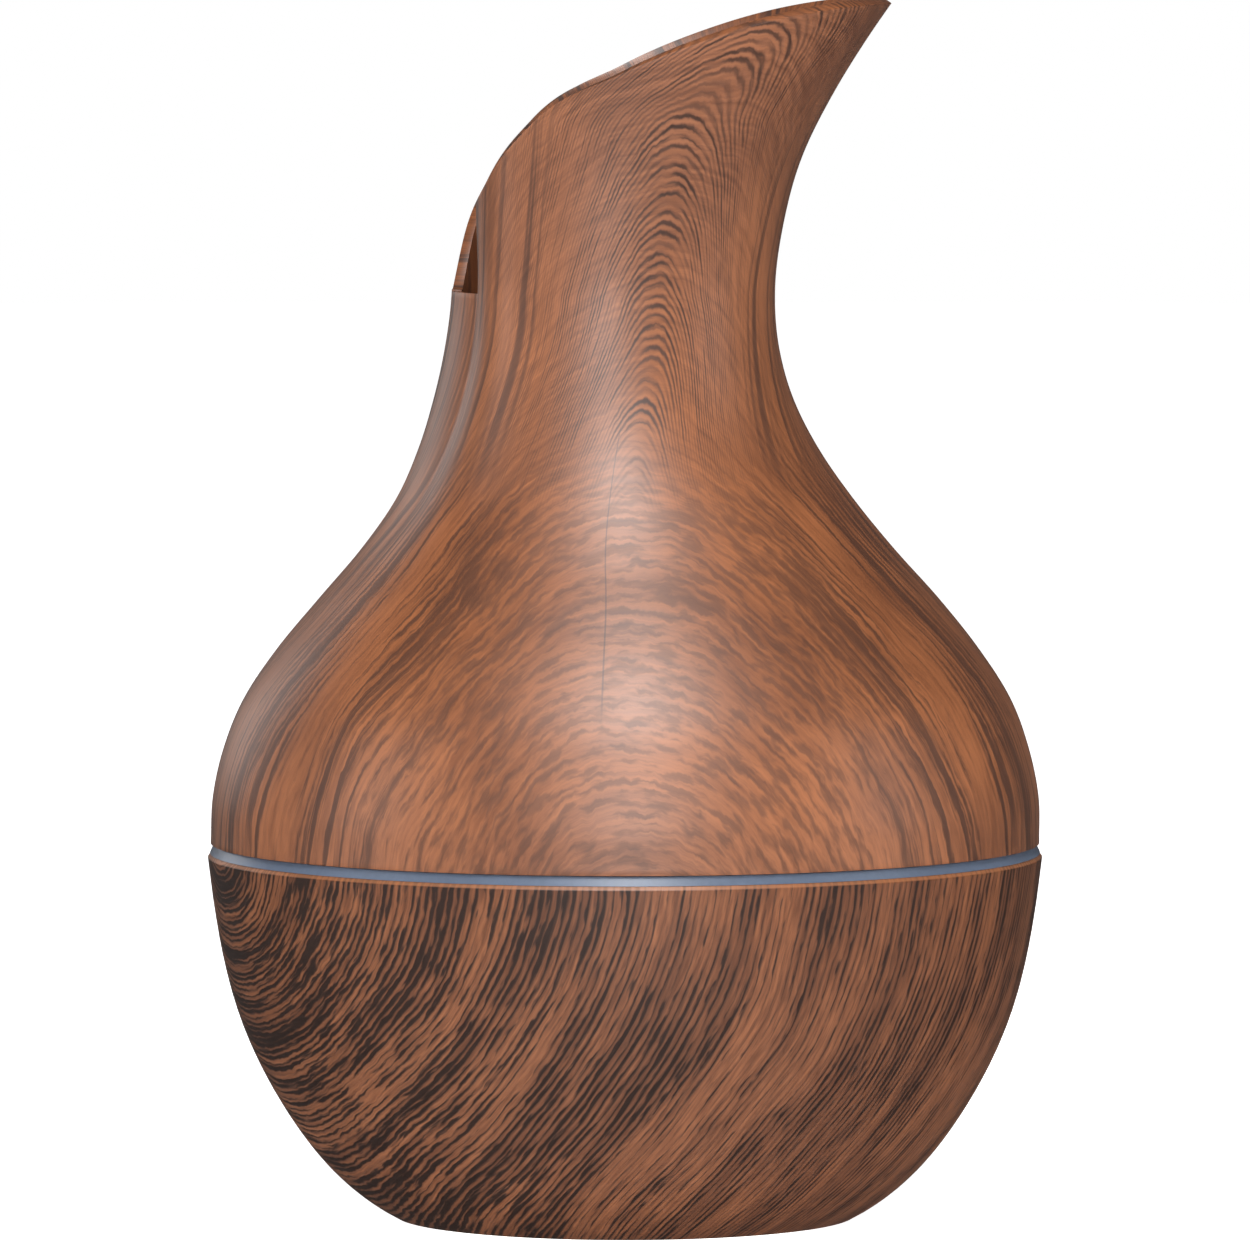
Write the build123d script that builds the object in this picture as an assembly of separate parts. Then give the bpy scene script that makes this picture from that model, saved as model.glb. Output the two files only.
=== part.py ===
from build123d import *
import math
import os

# A desktop cool mist humidifier. A vase-shaped upper cover with a slanted mouth stands on a
# bowl-shaped base. The base holds the water tank, the ultrasonic disc, the fan and the board.
# Millimetres, +Z up. The origin is the centre of the footprint, on the surface it stands on.
# The mouth's tip points to +X, and the rolled fold of the cover lies at the front left.

os.makedirs("parts", exist_ok=True)

# ---- driving dimensions ----
FOOT_HEIGHT = 0.6            # how far the rubber feet lift the shell
BASE_TOP = 44.5              # top edge of the base shell
BASE_PROFILE = [(27.7, FOOT_HEIGHT), (34.6, 5.6), (41.9, 15.2), (46.4, 24.8), (49.2, 36.5), (50.2, 44.0)]
SHELL_WALL = 2.0
RING_TOP = 45.6              # top of the translucent ring between base and cover
COVER_BOTTOM = 45.7
COVER_WALL = 1.7
SEAT_TOP = 47.2              # top of the straight seat that the cover's liner is pressed into
MOUTH_FLOOR = 102.0          # top face of the floor inside the mouth
MOUTH_FLOOR_THICKNESS = 2.0
FOLD_TOP = 112.0             # height where the inner sheet of the rolled cover ends
LIP_WALL = 1.2               # wall of the open mouth
TANK_FLOOR = 15.0            # underside of the tank
TANK_PROFILE = [(31.0, TANK_FLOOR), (37.5, 20.0), (42.0, 27.5), (44.9, 35.0), (46.2, 40.8)]
TANK_WALL = 1.8
TANK_RIM_INNER = 44.4        # straight bore that the cover's spigot plugs into
SPIGOT_OUTER = 44.1
PLATE_RADIUS = 24.9          # bottom cover
PLATE_TOP = 2.6
BOARD_BOTTOM = 4.4
BOARD_TOP = 6.0
FAN_Y = -17.0
FAN_SIZE = 25.0
FAN_BOTTOM = 6.0
FAN_TOP = 13.0
DISC_Y = 7.0                 # ultrasonic disc
BUTTON_ANGLE = 150.0
BUTTON_Z = 10.0
BUTTON_RADIUS = 3.6
USB_FACE = 33.2              # front of the USB shell, towards +Y
FOOT_RADIUS = 3.5
CHIMNEY_X = -2.1
CHIMNEY_RADIUS = 8.0

# Cross-sections of the cover, one row for each height: height, centre x, radius of the inner
# sheet, how far the outer sheet swells out in front of it, the direction of the crease where
# the outer sheet lands on the inner one, and how far the section reaches out towards the tip.
COVER_SECTIONS = [
    (45.7, 0.00, 49.85, 0.00, 180, 0.0),
    (51.0, 0.08, 49.70, 0.00, 180, 0.0),
    (57.0, 0.14, 48.45, 0.00, 181, 0.0),
    (63.0, 0.24, 46.10, 0.06, 186, 0.0),
    (69.0, 0.27, 42.10, 0.30, 196, 0.0),
    (75.0, 0.28, 37.10, 0.65, 201, 0.0),
    (81.0, 0.01, 31.70, 1.10, 204, 0.0),
    (87.0, -0.50, 27.00, 1.60, 207, 0.0),
    (93.0, -1.41, 23.40, 2.10, 211, 0.0),
    (99.0, -2.15, 20.80, 2.50, 214, 0.0),
    (105.0, -2.40, 19.20, 2.70, 215, 0.0),
    (112.0, -2.26, 18.47, 2.80, 214, 0.0),
    (120.0, -2.10, 18.80, 2.80, 214, 0.5),
    (128.0, -1.95, 19.25, 2.80, 214, 2.1),
    (136.0, -1.80, 19.85, 2.80, 214, 5.3),
    (142.0, -1.65, 20.30, 2.80, 214, 8.4),
    (149.0, -1.50, 20.80, 2.80, 214, 12.6),
]
FOLD_ANGLE_TOP = 214
ROLL_ANGLE = 26.0            # how far round the outer sheet takes to rise out of the crease

# The slanted rim of the mouth, seen from the front (x, z).
RIM_CURVE = [(-20.75, 112.0), (-19.5, 118.0), (-16.6, 125.1), (-11.3, 132.2), (-0.5, 138.4),
             (10.2, 142.6), (21.0, 145.4), (28.0, 146.35), (36.0, 146.5)]


# ---- helpers ----
def cylinder(radius, z_low, z_high, x=0.0, y=0.0):
    """An upright cylinder between two heights."""
    body = Cylinder(radius, z_high - z_low, align=(Align.CENTER, Align.CENTER, Align.MIN))
    return Pos(x, y, z_low) * body


def tube(outer, inner, z_low, z_high, x=0.0, y=0.0):
    """An upright tube between two heights."""
    return cylinder(outer, z_low, z_high, x, y) - cylinder(inner, z_low - 1, z_high + 1, x, y)


def block(x_low, x_high, y_low, y_high, z_low, z_high):
    """A box between two corners."""
    body = Box(x_high - x_low, y_high - y_low, z_high - z_low, align=(Align.MIN, Align.MIN, Align.MIN))
    return Pos(x_low, y_low, z_low) * body


def polar(radius, degrees):
    """A point on a circle about the axis."""
    angle = math.radians(degrees)
    return radius * math.cos(angle), radius * math.sin(angle)


def inset(points, distance):
    """The points of a profile (radius, height), moved towards the inside along its normals."""
    moved = []
    for i, (radius, height) in enumerate(points):
        before = points[max(i - 1, 0)]
        after = points[min(i + 1, len(points) - 1)]
        run = after[0] - before[0]
        rise = after[1] - before[1]
        length = math.hypot(run, rise)
        moved.append((radius - distance * rise / length, height + distance * run / length))
    return moved


def radius_at(points, height):
    """The radius of a profile at a height, between its points."""
    for (r0, z0), (r1, z1) in zip(points, points[1:]):
        if z0 <= height <= z1:
            return r0 + (r1 - r0) * (height - z0) / (z1 - z0)
    return points[-1][0] if height > points[-1][1] else points[0][0]


def bowl(points, top):
    """The solid of revolution under a curved profile, from its lowest point up to a height."""
    outline = [(r, 0, z) for r, z in points]
    start = outline[0]
    end = outline[-1]
    side = Spline(*outline)
    edges = [Line((0, 0, start[2]), start), side]
    if top - end[2] > 0.01:
        edges.append(Line(end, (end[0], 0, top)))
    edges += [Line((end[0], 0, top), (0, 0, top)), Line((0, 0, top), (0, 0, start[2]))]
    return revolve(make_face(edges), Axis.Z)


def turned(points):
    """A solid of revolution from a closed outline of straight sides (radius, height)."""
    outline = [(r, 0, z) for r, z in points]
    return revolve(make_face(Polyline(*outline, close=True)), Axis.Z)


def screw(length, head_radius, head_height, shank_radius):
    """A pan-head screw: the head's underside is at height 0 and the shank points up."""
    head = cylinder(head_radius, -head_height, 0)
    slot = block(-head_radius, head_radius, -0.3, 0.3, -head_height - 0.1, -head_height / 2)
    return head - slot - slot.rotate(Axis.Z, 90) + cylinder(shank_radius, 0, length)


# ---- upper cover ----
def swell(share):
    """How far the outer sheet stands off: it rises steeply out of the crease, then fades away."""
    rise = 1 - (1 - min(share * 360 / ROLL_ANGLE, 1)) ** 2
    return rise * (1 - share * share * (3 - 2 * share))


def cover_section(row, wall=0.0, points=24):
    """One cross-section: a full turn of the rolled sheet in two halves, closed at the crease."""
    height, centre, radius, step, fold_angle, flare = row
    curve = []
    for i in range(2 * points + 1):
        share = i / (2 * points)
        angle = math.radians(fold_angle + 360 * share)
        tip = flare * ((1 + math.cos(angle)) / 2) ** 1.5
        reach = radius - wall + step * swell(share) + tip
        curve.append((centre + reach * math.cos(angle), reach * math.sin(angle), height))
    return make_face([Spline(*curve[:points + 1]), Spline(*curve[points:])])


def row_at(height):
    """The cover's section at any height, between the rows of the table."""
    for low, high in zip(COVER_SECTIONS, COVER_SECTIONS[1:]):
        if low[0] <= height <= high[0]:
            share = (height - low[0]) / (high[0] - low[0])
            return tuple(a + (b - a) * share for a, b in zip(low, high))
    return COVER_SECTIONS[-1]


def round_cavity(heights, wall):
    """A smooth round hollow that follows the cover's inner sheet, a wall's thickness inside it."""
    circles = []
    for height in heights:
        low = row_at(max(height - 2, COVER_SECTIONS[0][0]))
        high = row_at(height + 2)
        slope = (high[2] - low[2]) / (high[0] - low[0])
        row = row_at(height)
        radius = row[2] - wall * math.hypot(1, slope)
        circles.append(Plane((row[1], 0, height)) * Circle(radius))
    return loft(circles)


def rim_cutter():
    """Everything above the slanted rim, as a slab right through the mouth."""
    curve = [(x, 0, z) for x, z in RIM_CURVE]
    left = (-40, 0, RIM_CURVE[0][1])
    right = (60, 0, RIM_CURVE[-1][1])
    outline = [Line(left, curve[0]), Spline(*curve), Line(curve[-1], right), Line(right, (60, 0, 170)),
               Line((60, 0, 170), (-40, 0, 170)), Line((-40, 0, 170), left)]
    return extrude(make_face(outline), amount=60, both=True)


def gap_cutter():
    """The wedge of inner sheet missing above the fold, between its free edge and the left side."""
    x, y = polar(40, FOLD_ANGLE_TOP)
    corners = [(-2.0, 0, FOLD_TOP), (-42.0, 0, FOLD_TOP), (-2.0 + x, y, FOLD_TOP)]
    return extrude(make_face(Polyline(*corners, close=True)), amount=50)


def cover_cavity():
    """The hollow of the belly and neck, from the liner's seat up to the mouth's floor."""
    heights = [SEAT_TOP] + [row[0] for row in COVER_SECTIONS if 50 < row[0] < 100] + [MOUTH_FLOOR]
    return round_cavity(heights, COVER_WALL) + cylinder(liner_radius(), COVER_BOTTOM - 1, SEAT_TOP + 0.2)


def cover_blank():
    return loft([cover_section(row) for row in COVER_SECTIONS])


def make_upper_cover():
    """Belly and neck, up to the level of the mouth's floor."""
    return (cover_blank() & block(-60, 60, -60, 60, 40, MOUTH_FLOOR)) - cover_cavity()


def make_mouth_lip():
    """The open mouth above its floor, with the slanted rim and the gap of the fold."""
    body = cover_blank() & block(-60, 60, -60, 60, MOUTH_FLOOR, 160)
    body -= round_cavity([MOUTH_FLOOR, 105.0, FOLD_TOP], COVER_WALL)
    body -= loft([cover_section(row, LIP_WALL) for row in COVER_SECTIONS if row[0] >= FOLD_TOP])
    return body - rim_cutter() - gap_cutter()


def make_mouth_floor():
    """Disc pressed into the neck, which carries the chimney."""
    slab = block(-60, 60, -60, 60, MOUTH_FLOOR - MOUTH_FLOOR_THICKNESS, MOUTH_FLOOR)
    return (cover_cavity() & slab) - cylinder(CHIMNEY_RADIUS, MOUTH_FLOOR - 4, MOUTH_FLOOR + 1, x=CHIMNEY_X)


def liner_radius():
    """Radius of the straight seat at the cover's lower edge that the liner is pressed into."""
    return COVER_SECTIONS[0][2] - 2.0


def make_cover_liner():
    """White inner ring: a web glued into the cover and a spigot that plugs into the tank."""
    seat = liner_radius()
    outline = [(42.2, 41.6), (SPIGOT_OUTER, 41.6), (SPIGOT_OUTER, 42.4), (43.2, 42.4), (43.2, 43.6),
               (SPIGOT_OUTER, 43.6), (SPIGOT_OUTER, 45.9), (seat, 45.9), (seat, SEAT_TOP), (42.2, SEAT_TOP)]
    return turned(outline)


def make_cover_seal():
    """Silicone ring in the spigot's groove."""
    return tube(44.32, 43.2, 42.4, 43.6)


def make_mist_chimney():
    """Tube that leads the mist from above the water to the mouth, with a flange under its floor."""
    flange_top = MOUTH_FLOOR - MOUTH_FLOOR_THICKNESS
    body = cylinder(CHIMNEY_RADIUS, 60, MOUTH_FLOOR, x=CHIMNEY_X)
    body += cylinder(CHIMNEY_RADIUS + 2.5, flange_top - 1.4, flange_top, x=CHIMNEY_X)
    return body - cylinder(CHIMNEY_RADIUS - 1.4, 59, MOUTH_FLOOR + 1, x=CHIMNEY_X)


def make_mist_outlet():
    """Nozzle ring on the mouth's floor."""
    outline = [(5.2, 102.0), (10.5, 102.0), (10.5, 103.0), (7.6, 103.4), (6.6, 107.0), (5.2, 107.0)]
    return Pos(CHIMNEY_X, 0, 0) * turned(outline)


# ---- base shell and ring ----
def button_location():
    """Where the button's axis meets the base: its local +X points out of the shell."""
    return Location((0, 0, BUTTON_Z), (0, 0, BUTTON_ANGLE))


def radial_rod(radius, near, far):
    """A rod along the button's axis between two distances from the centre."""
    rod = Cylinder(radius, far - near, rotation=(0, 90, 0), align=(Align.CENTER, Align.CENTER, Align.CENTER))
    return button_location() * (Pos((near + far) / 2, 0, 0) * rod)


def usb_port_block():
    return block(-6.9, 6.9, 31.4, 44.0, 3.7, 11.3)


BOSS_PLACES = [(20.5, -9.0), (-20.5, -9.0), (11.5, 19.2), (-11.5, 19.2)]


def make_base_shell():
    outer = bowl(BASE_PROFILE, 44.0)
    outer += turned([(0, 44.0), (50.2, 44.0), (49.85, BASE_TOP), (0, BASE_TOP)])
    inner_points = [p for p in inset(BASE_PROFILE, SHELL_WALL) if p[1] > BOARD_BOTTOM + 1]
    foot_radius = radius_at(inset(BASE_PROFILE, SHELL_WALL), BOARD_BOTTOM)
    inner = bowl([(foot_radius, BOARD_BOTTOM)] + inner_points, BASE_TOP + 1)
    body = outer - inner
    body += tube(inner_points[-1][0] + 0.6, 46.4, 41.0, 42.7)
    body -= cylinder(22.5, 0, BOARD_BOTTOM + 0.1)
    body -= cylinder(PLATE_RADIUS + 0.05, 0, PLATE_TOP)
    for x, y in BOSS_PLACES:
        body += cylinder(2.8, PLATE_TOP, 10, x, y)
        body -= cylinder(0.9, PLATE_TOP - 1, 9, x, y)
    for x in (-24.0, 24.0):
        body -= cylinder(0.7, 3.0, BOARD_BOTTOM + 1, x, 3.0)
    body -= radial_rod(BUTTON_RADIUS + 0.2, 25, 45)
    body -= usb_port_block()
    return body


def make_light_ring():
    """Translucent ring that rests on the base shell and shows as a thin lit band."""
    return turned([(46.25, BASE_TOP), (49.95, BASE_TOP), (49.45, RING_TOP), (46.25, RING_TOP)])


# ---- tank ----
def make_water_tank():
    outer = bowl(TANK_PROFILE, RING_TOP)
    outer += cylinder(48.0, 43.3, BASE_TOP)
    inner_points = [p for p in inset(TANK_PROFILE, TANK_WALL) if p[1] > TANK_FLOOR + 2.5]
    inner_points[-1] = (TANK_RIM_INNER, TANK_PROFILE[-1][1] - 0.3)
    floor_top = TANK_FLOOR + 2.0
    inner = bowl([(31.6, floor_top)] + inner_points, RING_TOP + 1)
    body = outer - inner
    body += tube(10.8, 9.2, 11.0, TANK_FLOOR, y=DISC_Y)
    for x in (-13.6, 13.6):
        body += cylinder(2.2, 11.0, TANK_FLOOR, x, DISC_Y)
    for x in (-13.6, 13.6):
        body -= cylinder(0.7, 10.0, 14.0, x, DISC_Y)
    body -= cylinder(6.6, TANK_FLOOR - 1, floor_top + 1, y=DISC_Y)
    body -= cylinder(6.3, TANK_FLOOR - 1, floor_top + 1, y=FAN_Y)
    return body


def make_tank_gasket():
    return tube(48.0, 46.5, 42.7, 43.3)


def make_air_tube():
    """Standpipe that brings the fan's air up above the water."""
    return tube(6.3, 4.8, TANK_FLOOR, 54.0, y=FAN_Y)


def make_air_tube_cap():
    """Hood over the standpipe, with three side windows."""
    body = cylinder(7.5, 51.0, 58.0, y=FAN_Y)
    body -= cylinder(6.3, 50.0, 56.8, y=FAN_Y)
    window = block(4.0, 9.0, -2.6, 2.6, 54.2, 56.4)
    for turn in (0, 120, 240):
        body -= Pos(0, FAN_Y, 0) * window.rotate(Axis.Z, turn + 90)
    return body


# ---- ultrasonic disc ----
def make_disc_grommet():
    body = tube(9.2, 6.6, 12.6, TANK_FLOOR, y=DISC_Y)
    return body - cylinder(8.0, 13.5, 14.1, y=DISC_Y)


def make_ultrasonic_disc():
    return cylinder(8.0, 13.5, 14.1, y=DISC_Y)


def make_disc_retainer():
    """Plate that presses the grommet into its seat, held by two screws."""
    ear = Plane((0, DISC_Y, 9.8)) * SlotOverall(32.0, 6.4)
    body = extrude(ear, amount=1.2) + cylinder(9.8, 9.8, 11.0, y=DISC_Y)
    body += cylinder(9.1, 11.0, 12.6, y=DISC_Y)
    body -= cylinder(5.6, 9.0, 13.0, y=DISC_Y)
    for x in (-13.6, 13.6):
        body -= cylinder(0.8, 9.0, 12.0, x, DISC_Y)
    return body


def make_retainer_screws():
    return [Pos(x, DISC_Y, 9.8) * screw(3.6, 1.5, 0.9, 0.7) for x in (-13.6, 13.6)]


# ---- fan ----
def fan_square(z_low, z_high):
    sketch = Plane((0, FAN_Y, z_low)) * RectangleRounded(FAN_SIZE, FAN_SIZE, 2.0)
    return extrude(sketch, amount=z_high - z_low)


def make_fan_duct():
    """Adapter from the square fan to the round standpipe."""
    body = fan_square(FAN_TOP, TANK_FLOOR)
    funnel = Cone(11.0, 4.8, TANK_FLOOR - FAN_TOP, align=(Align.CENTER, Align.CENTER, Align.MIN))
    return body - Pos(0, FAN_Y, FAN_TOP) * funnel


def make_fan_housing():
    body = fan_square(FAN_BOTTOM, FAN_TOP) - cylinder(11.3, FAN_BOTTOM + 1, FAN_TOP + 1, y=FAN_Y)
    opening = cylinder(11.3, FAN_BOTTOM - 1, FAN_BOTTOM + 2) - cylinder(5.0, 0, FAN_BOTTOM + 3)
    for turn in (30, 150, 270):
        opening -= block(0, 12, -0.9, 0.9, 0, FAN_BOTTOM + 3).rotate(Axis.Z, turn)
    body -= Pos(0, FAN_Y, 0) * opening
    for x, y in ((10.6, 10.6), (-10.6, 10.6), (10.6, -10.6), (-10.6, -10.6)):
        body -= cylinder(1.0, 0, 20, x, FAN_Y + y)
    body -= cylinder(0.75, 0, 20, y=FAN_Y)
    return body


def make_fan_shaft():
    return cylinder(0.75, FAN_BOTTOM, 12.0, y=FAN_Y)


def make_fan_stator():
    """Four wound poles round the shaft, under the rotor's hub."""
    body = tube(2.0, 0.75, FAN_BOTTOM + 1, 11.0, y=FAN_Y)
    for turn in (0, 90, 180, 270):
        pole = block(1.5, 4.8, -0.8, 0.8, 8.2, 10.2) + block(2.4, 4.0, -1.6, 1.6, 7.6, 10.8)
        body += Pos(0, FAN_Y, 0) * pole.rotate(Axis.Z, turn)
    return body


def make_fan_rotor():
    """Hub cup with seven pitched blades and a bore that runs on the shaft."""
    hub = cylinder(6.6, 7.3, 12.4) - cylinder(5.4, 7.0, 11.5)
    hub += cylinder(1.6, 11.0, 12.4)
    blade = Box(4.6, 0.7, 5.6, align=(Align.MIN, Align.CENTER, Align.CENTER))
    blade = Pos(6.2, 0, 9.85) * (Rotation(38, 0, 0) * blade)
    for i in range(7):
        hub += blade.rotate(Axis.Z, i * 360 / 7)
    hub -= cylinder(0.79, 7.0, 13.0)
    hub -= tube(20.0, 10.9, 5.0, 15.0)
    return Pos(0, FAN_Y, 0) * hub


def make_fan_screws():
    """Two screws that fasten fan and duct, from below."""
    places = ((10.6, 10.6), (-10.6, -10.6))
    return [Pos(x, FAN_Y + y, FAN_BOTTOM) * screw(7.0, 1.4, 0.8, 1.0) for x, y in places]


# ---- circuit board ----
def make_main_board():
    area = Plane((0, 12.5, BOARD_BOTTOM)) * Rectangle(56.0, 31.0)
    body = extrude(area, amount=BOARD_TOP - BOARD_BOTTOM) & cylinder(28.4, 0, 20)
    for x, y in BOSS_PLACES:
        body -= cylinder(3.1, 0, 20, x, y)
    for x in (-24.0, 24.0):
        body -= cylinder(0.8, 0, 20, x, 3.0)
    return body


def make_board_screws():
    return [Pos(x, 3.0, BOARD_TOP) * screw(2.9, 1.4, 0.8, 0.7).rotate(Axis.X, 180) for x in (-24.0, 24.0)]


def make_inductor():
    """Wound drum core."""
    core = turned([(0, BOARD_TOP), (3.6, BOARD_TOP), (3.6, 7.0), (2.6, 7.0), (2.6, 11.0),
                   (3.6, 11.0), (3.6, 12.0), (0, 12.0)])
    return Pos(21.5, 12.0, 0) * (core + tube(3.3, 2.6, 7.1, 10.9))


def make_capacitors():
    return [cylinder(2.0, BOARD_TOP, 11.0, x, y) for x, y in ((-18.5, 4.6), (19.0, 19.0))]


def make_control_chips():
    chip = block(-2.5, 2.5, -2.0, 2.0, BOARD_TOP, 7.6)
    transistor = block(-1.6, 1.6, -1.6, 1.6, BOARD_TOP, 7.4)
    return [Pos(-4.0, 5.0, 0) * chip, Pos(5.5, 5.0, 0) * transistor]


def make_night_light_leds():
    """Two dome LEDs that shine up through the tank."""
    leds = []
    for x in (-4.0, 4.0):
        dome = cylinder(1.5, BOARD_TOP, 8.6) + Pos(0, 0, 8.6) * Sphere(1.5)
        leds.append(Pos(x, 21.5, 0) * dome)
    return leds


# ---- USB inlet ----
def make_usb_shell():
    """Drawn steel shell of the micro-USB inlet: a tube with a tapered lower half."""
    outline = [(-3.8, BOARD_TOP + 1.1), (-2.9, BOARD_TOP), (2.9, BOARD_TOP), (3.8, BOARD_TOP + 1.1),
               (3.8, BOARD_TOP + 2.7), (-3.8, BOARD_TOP + 2.7)]
    bore = [(-3.5, 7.2), (-2.75, 6.3), (2.75, 6.3), (3.5, 7.2), (3.5, 8.4), (-3.5, 8.4)]
    outer_face = make_face(Polyline(*[(x, USB_FACE, z) for x, z in outline], close=True))
    inner_face = make_face(Polyline(*[(x, USB_FACE + 0.1, z) for x, z in bore], close=True))
    shell = extrude(outer_face, amount=5.6, dir=(0, -1, 0))
    cavity = extrude(inner_face, amount=5.1, dir=(0, -1, 0))
    return shell - cavity


def make_usb_tongue():
    return block(-1.9, 1.9, 28.2, 32.6, 7.7, 8.3) + block(-2.6, 2.6, 28.2, 28.9, 6.5, 8.35)


def make_usb_contacts():
    return [block(x - 0.2, x + 0.2, 28.9, 32.2, 7.58, 7.7) for x in (-1.3, -0.65, 0.0, 0.65, 1.3)]


def make_inlet_bezel():
    """Pocket-shaped frame round the inlet, trimmed to the shell's curve."""
    body = usb_port_block() & bowl(BASE_PROFILE, 44.0)
    body -= block(-5.7, 5.7, 32.8, 50.0, 4.9, 10.1)
    return body - block(-3.9, 3.9, 30.0, 34.0, 5.9, 8.8)


# ---- button ----
BUTTON_TRAVEL = 0.5
BUTTON_BACK = 30.6           # distance of the button's inner flange from the axis
SWITCH_FACE = 27.4


def make_power_button():
    """Round key whose face follows the base's curve and stands a little proud of it."""
    raised = [(r + 0.5, z) for r, z in BASE_PROFILE]
    key = radial_rod(BUTTON_RADIUS, BUTTON_BACK, 50) & bowl(raised, 44.0)
    key += radial_rod(BUTTON_RADIUS + 0.9, BUTTON_BACK - 1.0, BUTTON_BACK)
    return key + radial_rod(1.3, SWITCH_FACE + 1.2, BUTTON_BACK - 1.0)


def switch_box():
    return button_location() * (Pos((SWITCH_FACE + 23.4) / 2, 0, 0) * Box(SWITCH_FACE - 23.4, 6.0, 6.0))


def make_switch_body():
    body = switch_box() - radial_rod(1.35, SWITCH_FACE - 1.6, SWITCH_FACE + 1)
    legs = block(23.8, 26.8, -3.0, -2.4, BOARD_TOP, 7.1) + block(23.8, 26.8, 2.4, 3.0, BOARD_TOP, 7.1)
    return body + Location((0, 0, 0), (0, 0, BUTTON_ANGLE)) * legs


def make_switch_plunger():
    return radial_rod(1.3, SWITCH_FACE - 0.9, SWITCH_FACE + 1.2)


# ---- bottom ----
FOOT_PLACES = {"foot_front_right": -45, "foot_front_left": -135, "foot_back_left": 135, "foot_back_right": 45}
FOOT_RING = 18.5


def make_bottom_cover():
    body = cylinder(PLATE_RADIUS, FOOT_HEIGHT, PLATE_TOP)
    for i in range(6):
        slot = Plane((0, -20.5 + 3.4 * i, 0)) * SlotOverall(15.0, 1.7)
        body -= extrude(slot, amount=5)
    for x, y in BOSS_PLACES:
        body -= cylinder(1.2, 0, 5, x, y) + cylinder(2.3, 0, FOOT_HEIGHT + 1.0, x, y)
    for angle in FOOT_PLACES.values():
        x, y = polar(FOOT_RING, angle)
        body -= cylinder(3.5, 0, FOOT_HEIGHT + 0.8, x, y)
    return body


def make_foot(angle):
    x, y = polar(FOOT_RING, angle)
    pad = cylinder(FOOT_RADIUS, 0, 1.4)
    pad = chamfer(pad.edges().sort_by(Axis.Z)[0], 0.3)
    return Pos(x, y, 0) * pad


def make_case_screws():
    return [Pos(x, y, FOOT_HEIGHT + 1.0) * screw(6.5, 2.1, 0.8, 0.9) for x, y in BOSS_PLACES]


# ---- internal leads ----
LEAD_RADIUS = 0.45


def lead(points):
    """One insulated lead: straight runs joined by arcs."""
    path = FilletPolyline(*points, radius=1.6)
    return sweep(Plane(points[0], z_dir=path % 0) * Circle(LEAD_RADIUS), path=path)


def make_disc_leads():
    routes = []
    for side in (-1, 1):
        routes.append([(side * 2.4, DISC_Y, 13.5), (side * 2.4, DISC_Y, 8.4), (side * 6.0, 14.0, 8.4),
                       (side * 6.0, 14.0, BOARD_TOP)])
    return [lead(points) for points in routes]


def make_fan_leads():
    edge = FAN_Y + FAN_SIZE / 2
    routes = [[(x, edge, 8.6), (x, edge + 4.0, 8.6), (x, edge + 4.0, BOARD_TOP)] for x in (8.0, 9.3)]
    return [lead(points) for points in routes]


NODES = {
    "upper_cover": make_upper_cover,
    "mouth_lip": make_mouth_lip,
    "mouth_floor": make_mouth_floor,
    "cover_liner": make_cover_liner,
    "cover_seal": make_cover_seal,
    "mist_chimney": make_mist_chimney,
    "mist_outlet": make_mist_outlet,
    "base_shell": make_base_shell,
    "light_ring": make_light_ring,
    "water_tank": make_water_tank,
    "tank_gasket": make_tank_gasket,
    "air_tube": make_air_tube,
    "air_tube_cap": make_air_tube_cap,
    "disc_grommet": make_disc_grommet,
    "ultrasonic_disc": make_ultrasonic_disc,
    "disc_retainer": make_disc_retainer,
    "retainer_screws": make_retainer_screws,
    "disc_leads": make_disc_leads,
    "fan_leads": make_fan_leads,
    "fan_duct": make_fan_duct,
    "fan_housing": make_fan_housing,
    "fan_shaft": make_fan_shaft,
    "fan_stator": make_fan_stator,
    "fan_rotor": make_fan_rotor,
    "fan_screws": make_fan_screws,
    "main_board": make_main_board,
    "board_screws": make_board_screws,
    "inductor": make_inductor,
    "capacitors": make_capacitors,
    "control_chips": make_control_chips,
    "night_light_leds": make_night_light_leds,
    "usb_shell": make_usb_shell,
    "usb_tongue": make_usb_tongue,
    "usb_contacts": make_usb_contacts,
    "inlet_bezel": make_inlet_bezel,
    "power_button": make_power_button,
    "switch_body": make_switch_body,
    "switch_plunger": make_switch_plunger,
    "bottom_cover": make_bottom_cover,
    "case_screws": make_case_screws,
}
for name, angle in FOOT_PLACES.items():
    NODES[name] = lambda angle=angle: make_foot(angle)

for name, make in NODES.items():
    shape = make()
    pieces = shape if isinstance(shape, list) else [shape]
    solids = [solid for piece in pieces for solid in piece.solids()]
    export_step(solids[0] if len(solids) == 1 else Compound(children=solids), f"parts/{name}.step")
    print(name, len(solids), "solid(s)")
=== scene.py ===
# %% [markdown]
# # A wood-grain cool mist humidifier
#
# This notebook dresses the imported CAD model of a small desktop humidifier. A vase-shaped cover
# with a slanted mouth stands on a bowl-shaped base. The sheet of the cover is rolled, and its
# edge shows as a fold at the front left.
#
# The frame comes first. It brings in every CAD node in metres, already in its place, so that no
# piece has to be fitted by eye.

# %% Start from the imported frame
import math

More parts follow.
